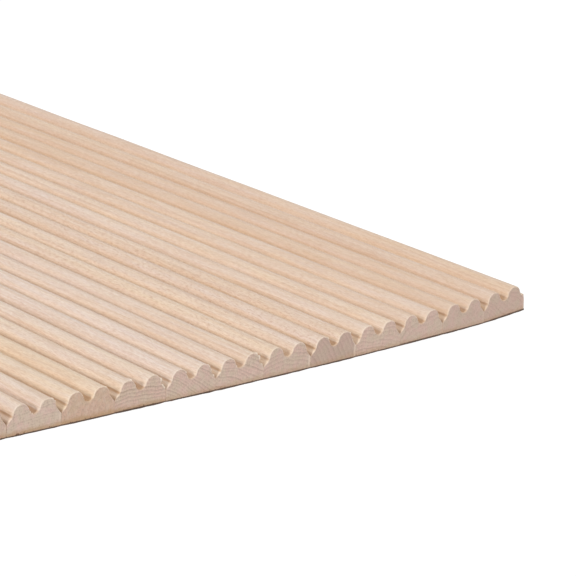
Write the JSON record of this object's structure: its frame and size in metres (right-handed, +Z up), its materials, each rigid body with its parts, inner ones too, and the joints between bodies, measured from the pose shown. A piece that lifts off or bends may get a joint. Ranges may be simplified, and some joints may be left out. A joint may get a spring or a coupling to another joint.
{
  "type": "tambour panel",
  "caption": "Flexible reeded panel of solid wood slats with two round beads each, glued side by side on a thin backing sheet; one long edge curls up slightly.",
  "frame": {"origin": "middle of the underside, on the level floor the panel lies on", "axes": "+X along the slats, +Y across the panel towards the long edge that curls up, +Z up out of the beaded face"},
  "size_m": [1.2, 0.6, 0.0164],
  "materials": {
    "slat_wood": "planed and moulded, unfinished",
    "backing_cloth": "dark brown glue-filled cloth"
  },
  "bodies": {
    "root": {"backing_sheet": "backing_cloth", "slat_01": "slat_wood", "slat_02": "slat_wood", "slat_03": "slat_wood", "slat_04": "slat_wood", "slat_05": "slat_wood", "slat_06": "slat_wood", "slat_07": "slat_wood", "slat_08": "slat_wood", "slat_09": "slat_wood", "slat_10": "slat_wood", "slat_11": "slat_wood", "slat_12": "slat_wood", "slat_13": "slat_wood", "slat_14": "slat_wood", "slat_15": "slat_wood", "slat_16": "slat_wood", "slat_17": "slat_wood", "slat_18": "slat_wood", "slat_19": "slat_wood", "slat_20": "slat_wood", "slat_21": "slat_wood", "slat_22": "slat_wood", "slat_23": "slat_wood", "slat_24": "slat_wood", "slat_25": "slat_wood"}
  },
  "joints": []
}
